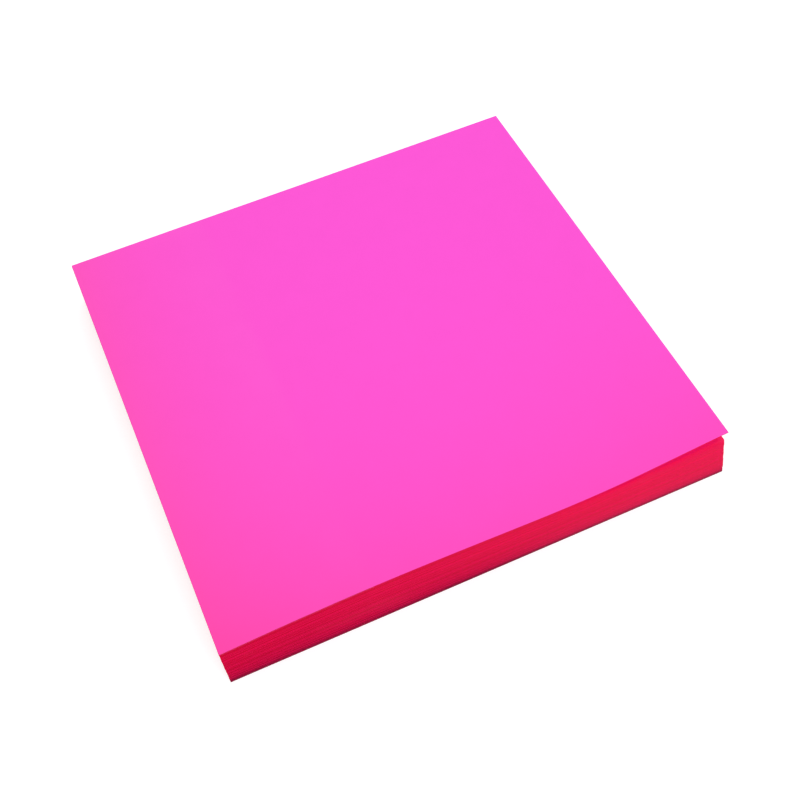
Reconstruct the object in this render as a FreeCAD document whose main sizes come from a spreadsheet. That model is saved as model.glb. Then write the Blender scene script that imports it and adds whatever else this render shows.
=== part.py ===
import FreeCAD, Part
import os
import Sketcher
from FreeCAD import Placement, Rotation, Vector

# Sticky note pad: square notes of thin paper, each held to the next by a band of weak glue along
# one edge. The pad lies flat. Its glued edge is at the back (+Y), and the free edges, where a
# note is peeled off, are at the front (-Y). The origin is the middle of the bottom, +Z is up.
#
# The glue makes the stack thicker over its band than in the middle, and handling has fanned the
# free corner at the left front upwards. So the top is a wave along the left side (-X), and
# straight lines carry it over to the right side (+X), which only slopes down a little towards
# the free edge.

document = FreeCAD.newDocument("sticky_note_pad")

# Driving dimensions in millimetres: name, size and what it is
DIMENSIONS = [
    ("note_side", 76.0, "side of every square note"),
    ("sheet_thickness", 0.1, "paper of one note"),
    ("backing_thickness", 0.08, "release paper under the last note"),
    ("glue_width", 22.0, "band of glue, from the back edge forwards"),
    ("glue_thickness", 0.05, "coat of glue under the top note"),
    ("left_back_height", 8.15, "top of the block on the left side, at the glued edge"),
    ("left_slope_height", 8.63, "control height between the glued edge and the crown"),
    ("left_crown_height", 8.93, "crown over the front end of the glue"),
    ("left_fall_height", 8.51, "control height where the wave falls to its middle"),
    ("left_trough_height", 7.71, "control height of the trough"),
    ("left_rise_height", 9.1, "control height where the free end rises"),
    ("left_front_height", 9.5, "top of the block at the fanned corner"),
    ("right_back_height", 8.3, "top of the block on the right side, at the glued edge"),
    ("right_front_height", 7.8, "top of the block on the right side, at the free edge"),
    ("fan_start_height", 8.2, "height from which the fanned notes lean back further"),
    ("fan_start_setback", 0.45, "how far the left front edge leans back at that height"),
    ("fan_setback", 1.05, "how far the left front edge leans back at its top"),
    ("rise_lift", 0.4, "top note off the block, just before its lifted tip"),
    ("tip_lift", 0.4, "top note off the block, at its lifted tip"),
]

sizes = document.addObject("Spreadsheet::Sheet", "Sizes")
for row, (name, size, meaning) in enumerate(DIMENSIONS, start=1):
    sizes.set(f"A{row}", name)
    sizes.set(f"B{row}", str(size))
    sizes.set(f"C{row}", meaning)
    sizes.setAlias(f"B{row}", name)
document.recompute()

# How a sketch numbers the points of its edges, and its own origin
START, END, CENTRE = 1, 2, 3
ORIGIN = (-1, START)

# A place in a profile is a run, which is how far it lies in front of the glued edge, and a
# height above the surface that the pad lies on. Both are written as expressions of the sizes.
BACK_EDGE = "0"
FRONT_EDGE = "Sizes.note_side"
ON_BACKING = "Sizes.backing_thickness"

# Two curves end to end make the wave: one over the glue, and one over the free part of the
# notes. The free curve has three equal spans, and its control points are spaced for an even run.
CURVE_DEGREE = 3
EVEN_WEIGHT = 1.0
GLUED_SHARES = [0, 1, 2, 3]
FREE_SHARES = [0, 1, 3, 6, 8, 9]
GLUED_RUNS = [f"Sizes.glue_width * {share} / {GLUED_SHARES[-1]}" for share in GLUED_SHARES]
FREE_RUNS = [
    f"Sizes.glue_width + (Sizes.note_side - Sizes.glue_width) * {share} / {FREE_SHARES[-1]}"
    for share in FREE_SHARES
]

LEFT_GLUED_HEIGHTS = [
    "Sizes.left_back_height",
    "Sizes.left_slope_height",
    "Sizes.left_crown_height",
    "Sizes.left_crown_height",
]
LEFT_FREE_HEIGHTS = [
    "Sizes.left_crown_height",
    "Sizes.left_crown_height",
    "Sizes.left_fall_height",
    "Sizes.left_trough_height",
    "Sizes.left_rise_height",
    "Sizes.left_front_height",
]


def right_height(run):
    """Height of the block's right side, at a run in front of the glued edge."""
    slope = "(Sizes.right_front_height - Sizes.right_back_height) / Sizes.note_side"
    return f"Sizes.right_back_height + {slope} * ({run})"


def raised(curve, *lifts):
    """The control points of a curve, each lifted by every one of the given lists of lifts."""
    heights = [" + ".join(terms) for terms in zip((height for _, height in curve), *lifts)]
    return [(run, height) for (run, _), height in zip(curve, heights)]


# The underside of the top note lies on the glue, comes down to the block just in front of it,
# and leaves the block again towards the fanned corner. Its upper side is one sheet higher.
left_glued = list(zip(GLUED_RUNS, LEFT_GLUED_HEIGHTS))
left_free = list(zip(FREE_RUNS, LEFT_FREE_HEIGHTS))
right_glued = [(run, right_height(run)) for run in GLUED_RUNS]
right_free = [(run, right_height(run)) for run in FREE_RUNS]

ON_GLUE = ["Sizes.glue_thickness"] * len(GLUED_SHARES)
PAST_GLUE = ["Sizes.glue_thickness"] * 2 + ["0"] * 4
FANNED = ["0"] * 4 + ["Sizes.rise_lift", "Sizes.tip_lift"]
SHEET = ["Sizes.sheet_thickness"] * len(FREE_SHARES)

left_note_glued = raised(left_glued, ON_GLUE)
left_note_free = raised(left_free, PAST_GLUE, FANNED)
right_note_glued = raised(right_glued, ON_GLUE)
right_note_free = raised(right_free, PAST_GLUE)

# The block's left front edge leans back, slightly at first and more where the notes are fanned.
# So the block's own wave ends a little behind the top note's tip, and its last two control
# points move back with it.
SETBACK_SHARES = [0, 0, 0, 0, 0.5, 1]
left_block_free = [
    (f"{run} - Sizes.fan_setback * {share}", height)
    for (run, height), share in zip(left_free, SETBACK_SHARES)
]


def backwards(curve):
    return list(reversed(curve))


# On the right side the front is upright, and the same share of its height matches the fan's start
left_fan_start = (f"{FRONT_EDGE} - Sizes.fan_start_setback", "Sizes.fan_start_height")
right_fan_start = (
    FRONT_EDGE,
    "Sizes.right_front_height * Sizes.fan_start_height / Sizes.left_front_height",
)


def block_outline(glued, free, fan_start):
    """Outline of the block on one side: over the top from back to front, and back underneath."""
    front_foot = (FRONT_EDGE, ON_BACKING)
    back_foot = (BACK_EDGE, ON_BACKING)
    return [
        glued,
        free,
        [free[-1], fan_start],
        [fan_start, front_foot],
        [front_foot, back_foot],
        [back_foot, glued[0]],
    ]


def glue_outline(block, note):
    """Outline of the glue on one side, between the block's top and the note's underside.

    It runs the same way as both of them do, so that faces that meet are facetted alike.
    """
    return [block, [block[-1], note[-1]], backwards(note), [note[0], block[0]]]


def note_outline(glued, free):
    """Outline of the top note on one side: its underside, and its upper side one sheet higher."""
    upper_glued = raised(glued, SHEET)
    upper_free = raised(free, SHEET)
    return [
        upper_glued,
        upper_free,
        [upper_free[-1], free[-1]],
        backwards(free),
        backwards(glued),
        [glued[0], upper_glued[0]],
    ]


def curve_through(points):
    """A clamped curve of even spans on its control points."""
    spans = len(points) - CURVE_DEGREE
    curve = Part.BSplineCurve()
    ends = [CURVE_DEGREE + 1]
    curve.buildFromPolesMultsKnots(
        points, ends + [1] * (spans - 1) + ends, range(spans + 1), False, CURVE_DEGREE
    )
    return curve


def place(sketch, geometry, vertex, point):
    """Bind one point of a sketch to its run and height."""
    for kind, expression in zip(("DistanceX", "DistanceY"), point):
        size = sketch.evalExpression(expression)
        index = sketch.addConstraint(Sketcher.Constraint(kind, *ORIGIN, geometry, vertex, size))
        sketch.setExpression(f"Constraints[{index}]", expression)


def draw_curve(sketch, points):
    """Add a curve whose control points are bound to the sizes, and return its index."""
    places = [Vector(*(sketch.evalExpression(part) for part in point), 0) for point in points]
    curve = sketch.addGeometry(curve_through(places))
    circles = [
        sketch.addGeometry(Part.Circle(spot, Vector(0, 0, 1), EVEN_WEIGHT), True)
        for spot in places
    ]
    sketch.addConstraint(Sketcher.Constraint("Weight", circles[0], EVEN_WEIGHT))
    for circle in circles[1:]:
        sketch.addConstraint(Sketcher.Constraint("Equal", circles[0], circle))
    for order, circle in enumerate(circles):
        role = "InternalAlignment:Sketcher::BSplineControlPoint"
        sketch.addConstraint(Sketcher.Constraint(role, circle, CENTRE, curve, order))
    for circle, point in list(zip(circles, points))[1:-1]:
        place(sketch, circle, CENTRE, point)
    return curve


def draw_line(sketch, points):
    """Add a straight edge and return its index."""
    start, end = [
        Vector(*(sketch.evalExpression(part) for part in point), 0) for point in points
    ]
    return sketch.addGeometry(Part.LineSegment(start, end))


def draw_side(body, name, outline, side):
    """Sketch an outline in the plane of the pad's left (-1) or right (1) side."""
    sketch = body.newObject("Sketcher::SketchObject", name)
    plane = next(item for item in body.Origin.OriginFeatures if item.Role == "YZ_Plane")
    sketch.AttachmentSupport = [(plane, "")]
    sketch.MapMode = "FlatFace"
    # Turned to face the left, so that runs grow forwards from the glued edge
    sketch.AttachmentOffset = Placement(Vector(), Rotation(Vector(0, 1, 0), 180))
    sketch.setExpression(".AttachmentOffset.Base.x", "Sizes.note_side / 2")
    sketch.setExpression(".AttachmentOffset.Base.z", f"{side} * Sizes.note_side / 2")
    edges = [
        draw_line(sketch, points) if len(points) == 2 else draw_curve(sketch, points)
        for points in outline
    ]
    for edge, following in zip(edges, edges[1:] + edges[:1]):
        sketch.addConstraint(Sketcher.Constraint("Coincident", edge, END, following, START))
    for edge, points in zip(edges, outline):
        place(sketch, edge, START, points[0])
    return sketch


def lofted_body(label, left_outline, right_outline):
    """A body whose surfaces are straight lines from its left outline to its right one."""
    body = document.addObject("PartDesign::Body", label)
    body.Label = label
    body.Placement = Placement()
    left = draw_side(body, f"{label}_left", left_outline, -1)
    right = draw_side(body, f"{label}_right", right_outline, 1)
    loft = body.newObject("PartDesign::AdditiveLoft", f"{label}_loft")
    loft.Profile = left
    loft.Sections = [right]
    loft.Ruled = True
    return body


def backing_body(label):
    """The release paper: a plain square sheet under the last note."""
    body = document.addObject("PartDesign::Body", label)
    body.Label = label
    body.Placement = Placement()
    sketch = body.newObject("Sketcher::SketchObject", f"{label}_square")
    plane = next(item for item in body.Origin.OriginFeatures if item.Role == "XY_Plane")
    sketch.AttachmentSupport = [(plane, "")]
    sketch.MapMode = "FlatFace"
    half = sizes.note_side / 2
    corners = [Vector(x * half, y * half, 0) for x, y in ((-1, -1), (1, -1), (1, 1), (-1, 1))]
    edges = [
        sketch.addGeometry(Part.LineSegment(start, end))
        for start, end in zip(corners, corners[1:] + corners[:1])
    ]
    for edge, following in zip(edges, edges[1:] + edges[:1]):
        sketch.addConstraint(Sketcher.Constraint("Coincident", edge, END, following, START))
    for edge, direction in zip(edges, ("Horizontal", "Vertical") * 2):
        sketch.addConstraint(Sketcher.Constraint(direction, edge))
    opposite = Sketcher.Constraint("Symmetric", edges[0], START, edges[2], START, *ORIGIN)
    sketch.addConstraint(opposite)
    for kind, edge in (("DistanceX", edges[0]), ("DistanceY", edges[1])):
        side = sketch.addConstraint(
            Sketcher.Constraint(kind, edge, START, edge, END, sizes.note_side)
        )
        sketch.setExpression(f"Constraints[{side}]", "Sizes.note_side")
    pad = body.newObject("PartDesign::Pad", f"{label}_pad")
    pad.Profile = sketch
    pad.setExpression("Length", "Sizes.backing_thickness")
    return body


bodies = [
    backing_body("backing_sheet"),
    lofted_body(
        "note_block",
        block_outline(left_glued, left_block_free, left_fan_start),
        block_outline(right_glued, right_free, right_fan_start),
    ),
    lofted_body(
        "glue_band",
        glue_outline(left_glued, left_note_glued),
        glue_outline(right_glued, right_note_glued),
    ),
    lofted_body(
        "top_note",
        note_outline(left_note_glued, left_note_free),
        note_outline(right_note_glued, right_note_free),
    ),
]
document.recompute()

for item in document.Objects:
    if "Invalid" in item.State or "Error" in item.State:
        raise RuntimeError(f"{item.Label} failed: {item.State}")
for body in bodies:
    if body.Shape.isNull() or not body.Shape.isValid():
        raise RuntimeError(f"{body.Label} has no valid shape")

os.makedirs("parts", exist_ok=True)
for body in bodies:
    body.Shape.exportStep(f"parts/{body.Label}.step")
    box = body.Shape.BoundBox
    print(
        f"{body.Label}: {len(body.Shape.Solids)} solid, {body.Shape.Volume:.1f} mm3, "
        f"z {box.ZMin:.3f} to {box.ZMax:.3f}"
    )
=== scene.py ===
# %% [markdown]
# This scene dresses a pad of sticky notes. A solid model already says how large the pad is and
# how its top waves. Here each note gets its own thin sheet, and the paper, its cut edges, the
# glue and the release paper get their finishes. The first cell loads the solid model.

# %% Load the solid model
import math
import random

import bmesh
import bpy
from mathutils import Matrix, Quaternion, Vector
from mathutils.bvhtree import BVHTree


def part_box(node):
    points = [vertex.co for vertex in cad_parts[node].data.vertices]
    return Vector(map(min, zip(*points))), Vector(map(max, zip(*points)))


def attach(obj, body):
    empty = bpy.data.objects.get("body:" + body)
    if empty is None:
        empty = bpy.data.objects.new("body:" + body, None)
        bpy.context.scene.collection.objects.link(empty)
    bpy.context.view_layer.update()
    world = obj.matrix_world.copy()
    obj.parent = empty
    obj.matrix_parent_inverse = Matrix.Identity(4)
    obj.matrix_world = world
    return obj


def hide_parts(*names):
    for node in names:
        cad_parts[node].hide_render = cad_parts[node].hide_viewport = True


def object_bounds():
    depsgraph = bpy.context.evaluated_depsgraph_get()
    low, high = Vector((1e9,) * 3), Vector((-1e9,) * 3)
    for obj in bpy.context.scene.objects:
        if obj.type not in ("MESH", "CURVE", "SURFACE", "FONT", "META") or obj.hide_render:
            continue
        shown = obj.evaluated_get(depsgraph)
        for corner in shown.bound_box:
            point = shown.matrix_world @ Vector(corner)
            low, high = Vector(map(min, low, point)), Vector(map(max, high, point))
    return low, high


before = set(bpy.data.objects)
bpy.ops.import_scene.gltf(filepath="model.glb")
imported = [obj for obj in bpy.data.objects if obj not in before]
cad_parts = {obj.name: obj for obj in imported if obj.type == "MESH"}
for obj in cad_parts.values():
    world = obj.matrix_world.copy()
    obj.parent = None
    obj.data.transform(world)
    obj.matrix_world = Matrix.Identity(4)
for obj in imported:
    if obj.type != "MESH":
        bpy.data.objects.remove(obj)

MM = 0.001
solid_low, solid_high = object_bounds()
print("solid model from", solid_low, "to", solid_high)

# %% [markdown]
# The camera looks down on the pad from its left, with a slight roll, because the photo was taken
# by hand. A place, a direction and a roll say all of that. A camera looks along its own -Z, so
# to_track_quat turns it to its direction first, and the roll then turns it about its own Z.

# %% Camera
CAMERA_PLACE = Vector((-127.0, 34.05, 171.7)) * MM
CAMERA_DIRECTION = Vector((0.5791, -0.1934, -0.792))
CAMERA_ROLL = math.radians(6.73)
CAMERA_LENS = 62.28
CAMERA_SHIFT = -0.04

camera = bpy.data.objects.new("camera", bpy.data.cameras.new("camera"))
bpy.context.scene.collection.objects.link(camera)
camera.location = CAMERA_PLACE
aim = CAMERA_DIRECTION.to_track_quat("-Z", "Y")
camera.rotation_mode = "QUATERNION"
camera.rotation_quaternion = aim @ Quaternion((0, 0, 1), -CAMERA_ROLL)
camera.data.lens = CAMERA_LENS
camera.data.shift_x = CAMERA_SHIFT
camera.data.shift_y = CAMERA_SHIFT
camera.data.clip_start = 0.01
bpy.context.scene.camera = camera
print("camera", round(camera.location.length / MM), "mm from the pad's middle")

# %% [markdown]
# Small helpers keep the materials short. A material is a graph of nodes: each helper adds one
# node, sets its sockets, and links what is given to it as a link. So a line below reads like a
# sentence: a noise of this size, mixed between these two colours.

# %% Helpers for node graphs
def new_material(name):
    """An empty material with a Principled shader on its output, and its graph."""
    material = bpy.data.materials.new(name)
    material.use_nodes = True
    graph = material.node_tree
    return material, graph, graph.nodes["Principled BSDF"]


def add_node(graph, kind, settings=None, **inputs):
    """One node. A value that is a socket is linked, and any other is set."""
    node = graph.nodes.new(kind)
    for name, value in (settings or {}).items():
        setattr(node, name, value)
    for name, value in inputs.items():
        connect(graph, node.inputs[name.replace("_", " ")], value)
    return node


def connect(graph, socket, value):
    if isinstance(value, bpy.types.NodeSocket):
        graph.links.new(value, socket)
    else:
        socket.default_value = value


def calculate(graph, operation, *values):
    """One step of arithmetic, and the socket with its result."""
    node = graph.nodes.new("ShaderNodeMath")
    node.operation = operation
    for socket, value in zip(node.inputs, values):
        connect(graph, socket, value)
    return node.outputs[0]


def mix_colours(graph, share, first, second, blend="MIX"):
    """A mix of two colours, and the socket with its result."""
    node = graph.nodes.new("ShaderNodeMix")
    node.data_type = "RGBA"
    node.blend_type = blend
    connect(graph, node.inputs[0], share)
    connect(graph, node.inputs[6], first)
    connect(graph, node.inputs[7], second)
    return node.outputs[2]


def ramp(graph, value, low, high, start=0.0, end=1.0):
    """A value carried smoothly from one range to another, and held at its ends."""
    node = add_node(graph, "ShaderNodeMapRange", {"interpolation_type": "SMOOTHSTEP"})
    for socket, given in zip(node.inputs, (value, low, high, start, end)):
        connect(graph, socket, given)
    return node.outputs[0]


print("node helpers ready")

# %% [markdown]
# Every finish here says where a point lies, gives the shader a colour under a shade, and gives it
# a relief for light to play over. A noise makes a good shade once it is carried to a range just
# under 1, because then it only darkens the colour a little.

# %% Helpers for finishes
WHITE = (1, 1, 1, 1)


def object_position(graph):
    """Where a point lies on its piece, in metres."""
    return add_node(graph, "ShaderNodeTexCoord").outputs["Object"]


def shade_from(graph, noise, darkest, low=0.25, high=0.75):
    """A noise made a shade: the darkest where the noise is low, and 1 where it is high."""
    return ramp(graph, noise, low, high, darkest, 1.0)


def paint(graph, shader, colour, shade):
    """Give a shader a colour multiplied by a shade."""
    tone = mix_colours(graph, 1.0, colour, shade, "MULTIPLY")
    graph.links.new(tone, shader.inputs["Base Color"])


def add_bump(graph, shader, height, strength, distance, invert=False):
    """Give a shader the relief of a height."""
    bump = add_node(
        graph, "ShaderNodeBump", {"invert": invert},
        Height=height, Strength=strength, Distance=distance,
    )
    graph.links.new(bump.outputs[0], shader.inputs["Normal"])


print("finish helpers ready")

# %% [markdown]
# Paper is a felt of wood fibres. Seen close, its colour is a little cloudy, because the pulp
# settled unevenly, and its surface has a nap of fibres a few hundredths of a millimetre high. The
# notes and the release paper both need that, so it is a node group, built once. The group gives
# a shade to multiply the colour by and a height for the bump. A noise of scale 1 has features a
# metre wide here, so a size in metres becomes a scale by dividing 1 by it.

# %% Paper nap, a group for every paper
CLOUD_SIZE = 4 * MM
FIBRE_SIZE = 0.3 * MM
FIBRE_HEIGHT = 0.02 * MM
NAP_CONTRAST = 0.035


def add_socket(group, name, kind, into, value=None):
    socket = group.interface.new_socket(name, in_out=into, socket_type=kind)
    if value is not None:
        socket.default_value = value


def make_paper_nap():
    group = bpy.data.node_groups.new("paper nap", "ShaderNodeTree")
    add_socket(group, "Position", "NodeSocketVector", "INPUT")
    add_socket(group, "Cloud size", "NodeSocketFloat", "INPUT", CLOUD_SIZE)
    add_socket(group, "Fibre size", "NodeSocketFloat", "INPUT", FIBRE_SIZE)
    add_socket(group, "Contrast", "NodeSocketFloat", "INPUT", NAP_CONTRAST)
    add_socket(group, "Shade", "NodeSocketFloat", "OUTPUT")
    add_socket(group, "Height", "NodeSocketFloat", "OUTPUT")
    given = group.nodes.new("NodeGroupInput")
    result = group.nodes.new("NodeGroupOutput")
    position = given.outputs["Position"]
    clouds = add_node(
        group, "ShaderNodeTexNoise", Vector=position, Detail=3.0,
        Scale=calculate(group, "DIVIDE", 1.0, given.outputs["Cloud size"]),
    )
    fibres = add_node(
        group, "ShaderNodeTexNoise", Vector=position, Detail=4.0, Distortion=1.5,
        Scale=calculate(group, "DIVIDE", 1.0, given.outputs["Fibre size"]),
    )
    both = calculate(group, "ADD", clouds.outputs[0], fibres.outputs[0])
    centred = calculate(group, "SUBTRACT", both, 1.0)
    swing = calculate(group, "MULTIPLY", centred, given.outputs["Contrast"])
    group.links.new(calculate(group, "ADD", swing, 1.0), result.inputs["Shade"])
    group.links.new(fibres.outputs[0], result.inputs["Height"])
    return group


paper_nap = make_paper_nap()


def finish_paper(graph, shader, tone, relief, **values):
    """Give a paper its tone under the nap's shade, and the nap's relief."""
    nap = graph.nodes.new("ShaderNodeGroup")
    nap.node_tree = paper_nap
    graph.links.new(object_position(graph), nap.inputs["Position"])
    for name, value in values.items():
        nap.inputs[name.replace("_", " ")].default_value = value
    paint(graph, shader, tone, nap.outputs["Shade"])
    add_bump(graph, shader, nap.outputs["Height"], relief, FIBRE_HEIGHT)


print("group", paper_nap.name, "with", len(paper_nap.nodes), "nodes")

# %% [markdown]
# The notes are dyed a fluorescent pink, which is why their red reaches the top of the scale. The
# pink is painted warmer and darker close to the glued edge and the left side, most of all where
# the two meet, as painted shade, and it is cold over the rest of the sheet. The painted shade
# dies away from an edge as an exponential does, fast at first and then slowly, which leaves no
# visible border. Where the glue under the note ends, a faint paler ridge of painted sheen runs
# across the pad there. It is sharp on its free side, soft towards the glued edge, and strongest
# far from the fanned corner. The paper's nap breaks the colour up.

# %% Note paper
COLD_PINK = (1.0, 0.088, 0.69, 1)
GLUED_PINK = (1.0, 0.083, 0.38, 1)
WARM_PINK = (1.0, 0.055, 0.37, 1)
GLUE_WARMTH = 0.53
GLUE_FADE = 14 * MM
LEFT_WARMTH = 0.47
LEFT_FADE = 20 * MM
CORNER_WARMTH = 1.6
RIDGE_SHEEN = 0.009
RIDGE_STEP = 2.5 * MM
RIDGE_FADE = 14 * MM
RIDGE_AT_LEFT = 0.3
RIDGE_THINNEST = 0.5
RIDGE_PATCH_SCALE = 90.0
NOTE_RELIEF = 0.25


def fading(graph, value, edge, length, strength=1.0):
    """A share that is full at an edge and dies away over a length."""
    away = calculate(graph, "ABSOLUTE", calculate(graph, "SUBTRACT", value, edge))
    power = calculate(graph, "EXPONENT", calculate(graph, "DIVIDE", away, -length))
    return calculate(graph, "MULTIPLY", power, strength)


def pink_with_painted_shade(graph, place):
    """Pink with painted shade: warm by the glued edge and the left side, and cold elsewhere."""
    near_glue = fading(graph, place.outputs["Y"], solid_high.y, GLUE_FADE, GLUE_WARMTH)
    near_left = fading(graph, place.outputs["X"], solid_low.x, LEFT_FADE, LEFT_WARMTH)
    in_corner = calculate(graph, "MULTIPLY", near_glue, CORNER_WARMTH)
    near_left = calculate(graph, "MULTIPLY", near_left, calculate(graph, "ADD", in_corner, 1.0))
    # Painted shade: the pink turns warmer towards the glued edge and the left side.
    pink = mix_colours(graph, near_glue, COLD_PINK, GLUED_PINK)
    return mix_colours(graph, near_left, pink, WARM_PINK)


def painted_sheen_ridge(graph, position, place):
    """Share of the faint painted sheen where the glue ends, broken up by a slow noise."""
    glue_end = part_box("glue_band")[0].y
    y = place.outputs["Y"]
    free_side = ramp(graph, y, glue_end - RIDGE_STEP / 2, glue_end + RIDGE_STEP / 2)
    glued_side = ramp(graph, y, glue_end, glue_end + RIDGE_FADE, 1.0, 0.0)
    along = ramp(graph, place.outputs["X"], solid_low.x, solid_high.x, RIDGE_AT_LEFT, 1.0)
    patches = add_node(
        graph, "ShaderNodeTexNoise", Vector=position, Scale=RIDGE_PATCH_SCALE, Detail=1.0
    )
    broken = shade_from(graph, patches.outputs[0], RIDGE_THINNEST, 0.35, 0.6)
    ridge = calculate(graph, "MULTIPLY", free_side, glued_side)
    return calculate(graph, "MULTIPLY", ridge, calculate(graph, "MULTIPLY", along, broken))


def make_note_paper():
    material, graph, shader = new_material("note paper")
    position = object_position(graph)
    place = add_node(graph, "ShaderNodeSeparateXYZ", Vector=position)
    ridge = painted_sheen_ridge(graph, position, place)
    # Painted sheen: the ridge mixes the pink a little towards white.
    sheen_paleness = calculate(graph, "MULTIPLY", ridge, RIDGE_SHEEN)
    pink = mix_colours(graph, sheen_paleness, pink_with_painted_shade(graph, place), WHITE)
    finish_paper(graph, shader, pink, NOTE_RELIEF)
    shader.inputs["Roughness"].default_value = 0.8
    shader.inputs["Specular IOR Level"].default_value = 0.2
    return material


note_paper = make_note_paper()
print("made", note_paper.name)

# %% [markdown]
# Between two notes, light can only bounce from pink to pink. Each bounce takes more of the blue
# and nearly all of the green, so the paper seen in the gap under a lifted note looks a deep
# crimson pink, which is painted onto this copy of the same paper as painted shade. It shares the
# nap. A faint painted glow stands in for daylight that comes through the thin sheets, so the gap
# is never quite black.

# %% Paper between the notes
INNER_PINK = (1.0, 0.012, 0.17, 1)
PAINTED_GLOW = 0.015


def make_inner_paper():
    material, graph, shader = new_material("paper between the notes")
    # The deep crimson pink is painted shade on this copy of the note paper.
    finish_paper(graph, shader, INNER_PINK, NOTE_RELIEF)
    shader.inputs["Roughness"].default_value = 0.9
    shader.inputs["Specular IOR Level"].default_value = 0.0
    # Painted glow: the paper gives off a little light, though it is no lamp.
    shader.inputs["Emission Color"].default_value = INNER_PINK
    shader.inputs["Emission Strength"].default_value = PAINTED_GLOW
    return material


inner_paper = make_inner_paper()
print("made", inner_paper.name)

# %% [markdown]
# A guillotine cuts the whole stack at once, so the sides show hundreds of paper edges, one over
# the other. Light that enters between fluorescent sheets bounces from pink to pink and comes out
# crimson, deeper than the face of a note. Over the glue the sheets lie tighter and look darker
# still; the ramp to that deeper red runs along the whole side, so part of it is painted shade.
# Towards the fanned corner a painted highlight makes the upper notes the brightest, a band of
# painted shade darkens the last few under the lifted top note, and their very corners get a paler
# painted highlight. Each sheet will carry its level in the stack, from 0 at the bottom to 1, so
# that these bands follow the wave.

# %% Reds of the cut edges
CRIMSON = (0.85, 0.016, 0.072, 1)
DEEP_CRIMSON = (0.61, 0.002, 0.036, 1)
PAINTED_HIGHLIGHT_RED = (1.0, 0.004, 0.076, 1)
SHADED_RED = (0.77, 0.001, 0.09, 1)
CORNER_HIGHLIGHT_PINK = (1.0, 0.04, 0.13, 1)
LEVEL = "level"

# Each pair says where a tone starts and where it is full
DEEP_ALONG_Y = -46 * MM, 40 * MM
FAN_ALONG_X = 10 * MM, -32 * MM
FAN_ALONG_Y = -4 * MM, -28 * MM
CORNER_HIGHLIGHT_ALONG_Y = -36 * MM, -37.3 * MM
HIGHLIGHT_BAND_LEVELS = 0.8, 0.93
SHADED_LEVELS = 0.93, 0.96
CORNER_HIGHLIGHT_LEVELS = 0.85, 0.96


def band(graph, below, colour, along, upwards):
    """A colour laid over another where two masks meet."""
    return mix_colours(graph, calculate(graph, "MULTIPLY", along, upwards), below, colour)


def stack_reds(graph, place):
    """Side reds: deeper towards the glue, partly painted shade; painted highlights and shade at
    the fan.
    """
    level = add_node(graph, "ShaderNodeAttribute", {"attribute_name": LEVEL}).outputs["Fac"]
    leftwards = ramp(graph, place.outputs["X"], *FAN_ALONG_X)
    fan = calculate(graph, "MULTIPLY", leftwards, ramp(graph, place.outputs["Y"], *FAN_ALONG_Y))
    corner_highlight_along = ramp(graph, place.outputs["Y"], *CORNER_HIGHLIGHT_ALONG_Y)
    corner = calculate(graph, "MULTIPLY", leftwards, corner_highlight_along)
    glue_and_shade_ramp = ramp(graph, place.outputs["Y"], *DEEP_ALONG_Y)
    # Deeper towards the glue: partly the glued sheets, partly painted shade along the side.
    red = mix_colours(graph, glue_and_shade_ramp, CRIMSON, DEEP_CRIMSON)
    # Painted highlight, painted shade under the lifted note, and a paler painted highlight at the
    # corner.
    red = band(graph, red, PAINTED_HIGHLIGHT_RED, fan, ramp(graph, level, *HIGHLIGHT_BAND_LEVELS))
    red = band(graph, red, SHADED_RED, fan, ramp(graph, level, *SHADED_LEVELS))
    return band(graph, red, CORNER_HIGHLIGHT_PINK, corner, ramp(graph, level, *CORNER_HIGHLIGHT_LEVELS))


print("reds change over levels", HIGHLIGHT_BAND_LEVELS, SHADED_LEVELS, CORNER_HIGHLIGHT_LEVELS)

# %% [markdown]
# The sides are painted darker towards the foot, most of all on the glued half, as painted shade,
# and the darkening dies away upwards. The very foot is darker still: a painted contact shadow,
# with a little grime. A little dust lies in patches, which are longer along the sheets than
# across them, so the coordinates of their noise are scaled more along Z.

# %% Dust and painted shade on the cut edges
DUSTY_CRIMSON = (0.75, 0.025, 0.075, 1)
DUSTY_SHARE = 0.25
DUST_SCALE = 90, 90, 200
DUST_NOISE = 0.5, 0.65
FOOT_SHADE_CRIMSON = (0.54, 0.024, 0.08, 1)
FOOT_SHADE_DEEP_CRIMSON = (0.22, 0.001, 0.026, 1)
FOOT_SHADE_DEEP_ALONG_Y = -25 * MM, 8 * MM
FOOT_SHADE_FADE = 2.2 * MM
FOOT_SHADOW_AND_GRIME = (0.15, 0.01, 0.045, 1)
FOOT_FADE = 0.45 * MM


def stretched_noise(graph, position, scale):
    """Noise on coordinates that are scaled by a different amount along each axis."""
    mapping = add_node(graph, "ShaderNodeMapping", Vector=position, Scale=scale)
    noise = add_node(
        graph, "ShaderNodeTexNoise", Vector=mapping.outputs[0], Scale=1.0, Detail=2.0
    )
    return noise.outputs[0]


def dust_and_painted_shade(graph, position, place, red):
    """The reds under dust, painted shade towards the foot and a painted contact shadow."""
    patches = stretched_noise(graph, position, DUST_SCALE)
    dust = ramp(graph, patches, *DUST_NOISE, 0.0, DUSTY_SHARE)
    red = mix_colours(graph, dust, red, DUSTY_CRIMSON)
    glued_half = ramp(graph, place.outputs["Y"], *FOOT_SHADE_DEEP_ALONG_Y)
    foot_shade_tone = mix_colours(graph, glued_half, FOOT_SHADE_CRIMSON, FOOT_SHADE_DEEP_CRIMSON)
    # Painted shade towards the foot, deeper on the glued half.
    red = mix_colours(
        graph, fading(graph, place.outputs["Z"], 0.0, FOOT_SHADE_FADE), red, foot_shade_tone
    )
    # Painted contact shadow, with a little grime, at the very foot.
    foot = fading(graph, place.outputs["Z"], 0.0, FOOT_FADE)
    return mix_colours(graph, foot, red, FOOT_SHADOW_AND_GRIME)


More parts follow.
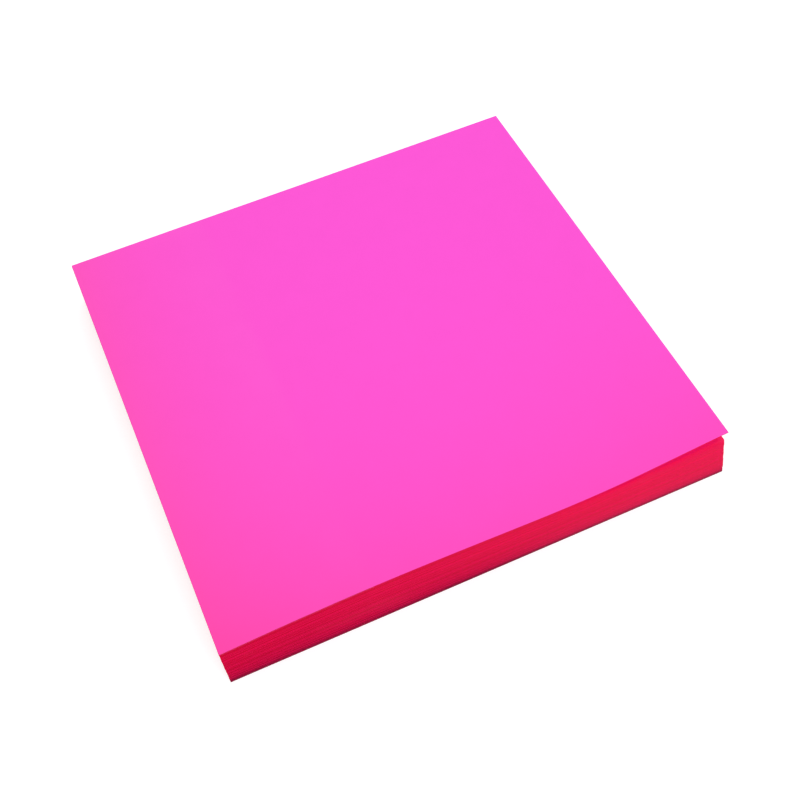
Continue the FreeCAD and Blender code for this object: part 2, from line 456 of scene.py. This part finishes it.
# The darkening towards the foot is painted shade.
print("rubbed over about", round(FOOT_SHADE_FADE / MM, 1), "mm from the foot")

# %% [markdown]
# Streaks run along the sheets, because some lie a hair further out, and bundles of sheets took
# the blade together. The blade itself leaves faint marks across the sheets. All three are noises,
# stretched by scaling the coordinates: the larger a number, the finer the pattern that way. The
# streaks and the marks of the blade also make the relief.

# %% Cut edges
SHEET_PITCH = 0.1 * MM
STREAK_SCALE = 25, 25, 0.7 / SHEET_PITCH
STREAK_SHADE = 0.92
BLADE_SCALE = 1500, 1500, 60
BLADE_SHADE = 0.96
BLADE_RELIEF = 0.3
BUNDLE_SCALE = 12, 12, 900
BUNDLE_SHADE = 0.95
CUT_RELIEF = 0.25
CUT_DEPTH = 0.03 * MM


def make_cut_edges():
    material, graph, shader = new_material("cut edges")
    position = object_position(graph)
    place = add_node(graph, "ShaderNodeSeparateXYZ", Vector=position)
    red = dust_and_painted_shade(graph, position, place, stack_reds(graph, place))
    streaks = stretched_noise(graph, position, STREAK_SCALE)
    blade = stretched_noise(graph, position, BLADE_SCALE)
    bundles = stretched_noise(graph, position, BUNDLE_SCALE)
    shade = calculate(
        graph, "MULTIPLY", shade_from(graph, streaks, STREAK_SHADE),
        shade_from(graph, blade, BLADE_SHADE),
    )
    bundle_shade = shade_from(graph, bundles, BUNDLE_SHADE, 0.3, 0.7)
    paint(graph, shader, red, calculate(graph, "MULTIPLY", shade, bundle_shade))
    relief = calculate(graph, "ADD", streaks, calculate(graph, "MULTIPLY", blade, BLADE_RELIEF))
    add_bump(graph, shader, relief, CUT_RELIEF, CUT_DEPTH)
    shader.inputs["Roughness"].default_value = 0.8
    shader.inputs["Specular IOR Level"].default_value = 0.02
    return material


cut_edges = make_cut_edges()
print("made", cut_edges.name)

# %% [markdown]
# The glue is a thin coat of tiny clear sticky balls, a little shiny. It has no colour of its own,
# so it shows the pink of the paper on both sides of it, deepened. A Voronoi texture gives each
# ball a cell, and the distance to the middle of the cell makes it lower at its rim, and darker
# there as painted shade.

# %% Glue
GLUE_PINK = (0.85, 0.02, 0.16, 1)
BALL_SIZE = 0.05 * MM
BALL_HEIGHT = 0.02 * MM
BALL_RELIEF = 0.5
RIM_DISTANCE = 0.6
RIM_SHADE = 0.88


def make_glue():
    material, graph, shader = new_material("repositionable glue")
    balls = add_node(
        graph, "ShaderNodeTexVoronoi", Vector=object_position(graph), Scale=1 / BALL_SIZE
    )
    from_middle = balls.outputs["Distance"]
    # Painted shade at each ball's rim.
    paint(graph, shader, GLUE_PINK, ramp(graph, from_middle, 0.0, RIM_DISTANCE, 1.0, RIM_SHADE))
    add_bump(graph, shader, from_middle, BALL_RELIEF, BALL_HEIGHT, invert=True)
    shader.inputs["Roughness"].default_value = 0.35
    return material


glue = make_glue()
print("made", glue.name)

# %% [markdown]
# The release paper under the last note is pale and has a slight gloss from its silicone coat. It
# shares the paper nap with the notes, in larger contrast. Its cut edges are dull crimson: a
# painted contact shadow along the foot of the pad. The Z of the normal tells a side from a face.

# %% Release paper
PALE_CREAM = (0.8, 0.77, 0.68, 1)
SHADOWED_EDGE = (0.22, 0.012, 0.04, 1)
RELEASE_CONTRAST = 0.08
RELEASE_CLOUD_SIZE = 3 * MM
RELEASE_RELIEF = 0.15
FACE_SLOPE = 0.5


def make_release_paper():
    material, graph, shader = new_material("release paper")
    normal = graph.nodes.new("ShaderNodeNewGeometry").outputs["Normal"]
    upright = add_node(graph, "ShaderNodeSeparateXYZ", Vector=normal).outputs["Z"]
    on_face = calculate(
        graph, "GREATER_THAN", calculate(graph, "ABSOLUTE", upright), FACE_SLOPE
    )
    # Painted contact shadow on the cut edges, pale cream on the faces.
    tone = mix_colours(graph, on_face, SHADOWED_EDGE, PALE_CREAM)
    finish_paper(
        graph, shader, tone, RELEASE_RELIEF,
        Contrast=RELEASE_CONTRAST, Cloud_size=RELEASE_CLOUD_SIZE,
    )
    shader.inputs["Roughness"].default_value = 0.42
    shader.inputs["Coat Weight"].default_value = 0.25
    return material


release_paper = make_release_paper()
print("made", release_paper.name)

# %% [markdown]
# A real note takes the shape of what it lies on. The solid model's top is a wave on the left side
# that straight lines carry over to the right side. So the wave is read from the solid's own
# corners along each side: those that a ray straight up finds nothing above. Each ray starts a
# hair inside the outline, so that it can't slip past a side. The solid is made of flat facets,
# and a cubic through their corners makes the curve smooth again.

# %% Read the wave from the solid model
NUDGE = 0.01 * MM
INWARDS = 0.999
UP = Vector((0, 0, 1))


def microns(length):
    """A length in metres, rounded to a thousandth of a millimetre."""
    return round(length, 6)


def side_profile(name, side, front):
    """Points (y, z) of a node's top along one side, from the front to the back."""
    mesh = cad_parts[name].data
    tree = BVHTree.FromPolygons(
        [vertex.co for vertex in mesh.vertices], [face.vertices for face in mesh.polygons]
    )
    found = {}
    for vertex in mesh.vertices:
        x, y, z = vertex.co
        if abs(x - side) > NUDGE or y < front - NUDGE:
            continue
        start = Vector((x * INWARDS, y * INWARDS, z + NUDGE / 4))
        if tree.ray_cast(start, UP)[0] is None:
            found[microns(y)] = max(z, found.get(microns(y), 0.0))
    return sorted(found.items())


def height_on(profile, y):
    """Height of a smooth curve through a profile's points."""
    y = min(max(y, profile[0][0]), profile[-1][0])
    index = next(i for i in range(1, len(profile)) if profile[i][0] >= y)
    (start, low), (end, high) = profile[index - 1], profile[index]

    def slope(i):
        before, after = profile[max(i - 1, 0)], profile[min(i + 1, len(profile) - 1)]
        return (after[1] - before[1]) / (after[0] - before[0])

    span = end - start
    share = (y - start) / span
    return (
        low * (1 + 2 * share) * (1 - share) ** 2
        + high * share ** 2 * (3 - 2 * share)
        + slope(index - 1) * span * share * (1 - share) ** 2
        - slope(index) * span * share ** 2 * (1 - share)
    )


LEFT, RIGHT = solid_low.x, solid_high.x
FRONT, BACK = solid_low.y, solid_high.y
SIDE = BACK - FRONT
block_corners = [vertex.co.copy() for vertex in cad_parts["note_block"].data.vertices]
fanned_corner = max(block_corners, key=lambda corner: corner.z)

note_profiles = side_profile("top_note", LEFT, FRONT), side_profile("top_note", RIGHT, FRONT)
block_profiles = (
    side_profile("note_block", LEFT, fanned_corner.y),
    side_profile("note_block", RIGHT, FRONT),
)


def height_at(profiles, x, y):
    """Height of a top at a place: the straight line from its left curve to its right one."""
    share = (x - LEFT) / (RIGHT - LEFT)
    return height_on(profiles[0], y) * (1 - share) + height_on(profiles[1], y) * share


print("wave points, left and right:", [len(profile) for profile in block_profiles])
print("fan set back by", round((fanned_corner.y - FRONT) / MM, 2), "mm")

# %% [markdown]
# One note is a flat grid of points that is bent, then given its thickness by an extrusion. The
# grid operator makes the square, a function says where each point goes, and extruding the faces
# upwards makes the upper side and the cut edges. The edges get the second material. Marking the
# rim sharp keeps the broad faces smooth and the cut edges crisp.

# %% Make one bent sheet
CREASE_ANGLE = math.radians(40)


def add_sheet(mesh, columns, rows, bend, thickness):
    """Add one sheet to a mesh: a square grid bent by a function, then thickened upwards."""
    made = bmesh.ops.create_grid(mesh, x_segments=columns, y_segments=rows, size=SIDE / 2)
    for vertex in made["verts"]:
        vertex.co = bend(vertex.co)
    under = list({face for vertex in made["verts"] for face in vertex.link_faces})
    bmesh.ops.reverse_faces(mesh, faces=under)
    raised = bmesh.ops.extrude_face_region(mesh, geom=under, use_keep_orig=True)["geom"]
    upper = [item for item in raised if isinstance(item, bmesh.types.BMVert)]
    bmesh.ops.translate(mesh, verts=upper, vec=(0, 0, thickness))
    return made["verts"] + upper


def finish_sheets(name, mesh, materials, slot, *nodes):
    """Turn sheets into a piece of the pad, with its cut edges in the second material."""
    bmesh.ops.recalc_face_normals(mesh, faces=mesh.faces)
    for face in mesh.faces:
        face.smooth = True
        face.material_index = 0 if abs(face.normal.z) > 0.5 else 1
    data = bpy.data.meshes.new(name)
    mesh.to_mesh(data)
    mesh.free()
    data.set_sharp_from_angle(angle=CREASE_ANGLE)
    for material in materials:
        data.materials.append(material)
    piece = bpy.data.objects.new(name, data)
    bpy.context.scene.collection.objects.link(piece)
    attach(piece, "root")
    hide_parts(*nodes)
    triangles = sum(len(face.vertices) - 2 for face in data.polygons)
    print(name, "has", triangles, "triangles")
    return piece


# %% [markdown]
# The stack is made of single notes, one over the other, as the real one is. Over the glue every
# note adds the same little extra height. At the free end the extra height is air, and most of it
# lies between the upper notes, so there a power of the level pushes it towards the top. The
# fanned notes also lean back: the solid's left front edge says how far at each height. A function
# that returns a function fits here, because each sheet is bent by its own level.

# %% Shape of a note in the stack
NOTE_COUNT = 77
FAN_POWER = 3.0
FREE_FROM = 12 * MM
FREE_LENGTH = 40 * MM

backing_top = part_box("backing_sheet")[1].z
flat_top = min(height for profile in block_profiles for _, height in profile)
pitch = (flat_top - backing_top) / NOTE_COUNT
left_front_edge = sorted({
    (microns(corner.z), microns(corner.y - FRONT))
    for corner in block_corners
    if corner.x < LEFT + NUDGE and corner.y < fanned_corner.y + NUDGE
})


def note_height(level, air, x, y):
    """Height of a note's underside, from its level and its share of the air, each 0 to 1."""
    freedom = min(max((FREE_FROM - y) / FREE_LENGTH, 0.0), 1.0)
    power = 1 + (FAN_POWER - 1) * freedom
    lifted = level * (1 - freedom) + air * freedom
    rise = height_at(block_profiles, x, y) - flat_top
    return backing_top + (flat_top - backing_top) * level + rise * lifted ** power


def lean_back(height):
    """How far the front left corner of a note at a height lies behind the pad's front."""
    for (low, near), (high, far) in zip(left_front_edge, left_front_edge[1:]):
        if height <= high:
            return near + (far - near) * max(height - low, 0.0) / (high - low)
    return far


def bend_to_stack(level, air, offset):
    """A function that bends a flat sheet to its place in the stack."""
    setback = lean_back(note_height(level, air, LEFT, FRONT))

    def bend(point):
        towards_left = (RIGHT - point.x) / SIDE
        y = BACK - (BACK - point.y) * (1 - setback * towards_left / SIDE)
        return Vector((point.x, y, note_height(level, air, point.x, y))) + offset

    return bend


print("sheet pitch", round(pitch / MM, 4), "mm")

# %% [markdown]
# Some notes cling together and others gape, so the steps of air are uneven: a list of random
# steps is summed up to give each note's share of the air under it. No stack is quite flush
# either: each note is off by a few hundredths of a millimetre, and bundles that were jogged
# together are off as one. The dice have a fixed seed, so that every run makes the same pad. Each
# sheet is a little thinner than the pitch, and writes its level on its own points.

# %% Stack of notes
STACK_COLUMNS = 4
STACK_ROWS = 48
DICE_SEED = 7
LOOSE = 0.025 * MM
BUNDLE_STEP = 0.012 * MM
BUNDLE_LIMIT = 0.06 * MM
PAPER_SHARE = 0.96

dice = random.Random(DICE_SEED)
air_steps = [dice.uniform(0, 1) ** 2 for _ in range(NOTE_COUNT)]
stack = bmesh.new()
levels = stack.verts.layers.float.new(LEVEL)
bundle = Vector((0, 0, 0))
for order in range(NOTE_COUNT):
    step = Vector((dice.uniform(-1, 1), dice.uniform(-1, 1), 0)) * BUNDLE_STEP
    if (bundle + step).length < BUNDLE_LIMIT:
        bundle += step
    own = Vector((dice.uniform(-1, 1), dice.uniform(-1, 1), 0)) * LOOSE
    level, air = order / NOTE_COUNT, sum(air_steps[:order]) / sum(air_steps)
    bend = bend_to_stack(level, air, bundle + own)
    for vertex in add_sheet(stack, STACK_COLUMNS, STACK_ROWS, bend, pitch * PAPER_SHARE):
        vertex[levels] = level
stacked_notes = finish_sheets(
    "stacked_notes", stack, [inner_paper, cut_edges], "note_edges", "note_block"
)

# %% [markdown]
# The top note is one more sheet, on a finer grid because light plays over all of it. It follows
# its own solid, which lies on the glue, touches the stack in the middle, and leaves it again at
# the free corner.

# %% Top note
NOTE_COLUMNS = 32
NOTE_ROWS = 96
note_thickness = pitch * PAPER_SHARE


def bend_to_top(point):
    upper = height_at(note_profiles, point.x, point.y)
    return Vector((point.x, point.y, upper - note_thickness))


single = bmesh.new()
add_sheet(single, NOTE_COLUMNS, NOTE_ROWS, bend_to_top, note_thickness)
uppermost_note = finish_sheets(
    "uppermost_note", single, [note_paper, cut_edges], "note_paper", "top_note"
)

# %% [markdown]
# The glue band and the release paper are true in the solid model as they are: thin, flat and
# plain. They only get their finishes, by assigning a material to each slot.

# %% Glue and backing
def dress(name, material):
    """Give a solid of the model its material."""
    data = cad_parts[name].data
    data.materials.clear()
    data.materials.append(material)
    print("dressed", name, "with", material.name)


dress("glue_band", glue)
dress("backing_sheet", release_paper)

# %% [markdown]
# The floor is a wide pale sheet. It shows as white to the camera through some light of its own
# that only camera, mirror and glass rays see, so it throws no light on the pad, and the pad's
# shadow still falls on it. A window the size of the pad is cut out under it, as in a light table:
# the window can't be seen from above, and from below it shows the release paper in daylight. The
# inset operator draws the window inside the one face of the grid, and the inner face is deleted.

# %% Floor
FLOOR_HALF = 1.5
FLOOR_COLOUR = (0.72, 0.72, 0.72, 1)
FLOOR_MOTTLE = 25 * MM
FLOOR_SHADE = 0.98
FLOOR_GLOW = 0.54


def seen_directly(graph):
    """1 for rays of the camera, and for mirrored and refracted ones."""
    rays = graph.nodes.new("ShaderNodeLightPath")
    mirrored = calculate(
        graph, "MAXIMUM", rays.outputs["Is Camera Ray"], rays.outputs["Is Glossy Ray"]
    )
    return calculate(graph, "MAXIMUM", mirrored, rays.outputs["Is Transmission Ray"])


def make_floor_finish():
    material, graph, shader = new_material("pale floor")
    mottle = add_node(
        graph, "ShaderNodeTexNoise",
        Vector=object_position(graph), Scale=1 / FLOOR_MOTTLE, Detail=3.0,
    )
    shade = shade_from(graph, mottle.outputs[0], FLOOR_SHADE, 0.3, 0.7)
    paint(graph, shader, FLOOR_COLOUR, shade)
    shader.inputs["Roughness"].default_value = 0.9
    shader.inputs["Specular IOR Level"].default_value = 0.0
    shader.inputs["Emission Color"].default_value = WHITE
    glow = calculate(graph, "MULTIPLY", seen_directly(graph), FLOOR_GLOW)
    graph.links.new(glow, shader.inputs["Emission Strength"])
    return material


def make_floor():
    mesh = bmesh.new()
    bmesh.ops.create_grid(mesh, x_segments=1, y_segments=1, size=FLOOR_HALF)
    under_pad = list(mesh.faces)
    bmesh.ops.inset_region(
        mesh, faces=under_pad, thickness=FLOOR_HALF - SIDE / 2,
        use_boundary=True, use_even_offset=True,
    )
    bmesh.ops.delete(mesh, geom=under_pad, context="FACES")
    data = bpy.data.meshes.new("floor")
    mesh.to_mesh(data)
    mesh.free()
    data.materials.append(make_floor_finish())
    floor = bpy.data.objects.new("floor", data)
    bpy.context.scene.collection.objects.link(floor)
    return floor


floor = make_floor()
print("floor of", 2 * FLOOR_HALF, "m in", len(floor.data.polygons), "faces round the window")

# %% [markdown]
# The light is a bright white room, as around a product on a table. The sky gives most of it, from
# all sides. A wide soft lamp high on the left brightens the cut edges on that side. Their powers
# are set so that a colour on the top of the pad shows about as it is written.

# %% Light
SKY_STRENGTH = 0.82
LAMP_PLACE = Vector((-0.9, -0.1, 0.63))
LAMP_SIDE = 0.9
LAMP_POWER = 4.5


def sky_strength(graph):
    """Strength 1 where the sky is seen, and the sky's own strength where it only lights."""
    extra = calculate(graph, "MULTIPLY", seen_directly(graph), 1 - SKY_STRENGTH)
    return calculate(graph, "ADD", extra, SKY_STRENGTH)


def make_sky():
    world = bpy.data.worlds.new("white room")
    bpy.context.scene.world = world
    world.use_nodes = True
    graph = world.node_tree
    background = graph.nodes["Background"]
    background.inputs["Color"].default_value = WHITE
    graph.links.new(sky_strength(graph), background.inputs["Strength"])


def make_lamp(name, place, side, power):
    """A round lamp that faces the pad's middle."""
    lamp = bpy.data.lights.new(name, "AREA")
    lamp.shape = "DISK"
    lamp.size = side
    lamp.energy = power
    holder = bpy.data.objects.new(name, lamp)
    bpy.context.scene.collection.objects.link(holder)
    holder.location = place
    holder.rotation_mode = "QUATERNION"
    holder.rotation_quaternion = (-place).to_track_quat("-Z", "Y")


make_sky()
make_lamp("soft lamp", LAMP_PLACE, LAMP_SIDE, LAMP_POWER)
bpy.context.scene.view_settings.view_transform = "Standard"
print("sky", SKY_STRENGTH, "lamp", LAMP_POWER, "W")
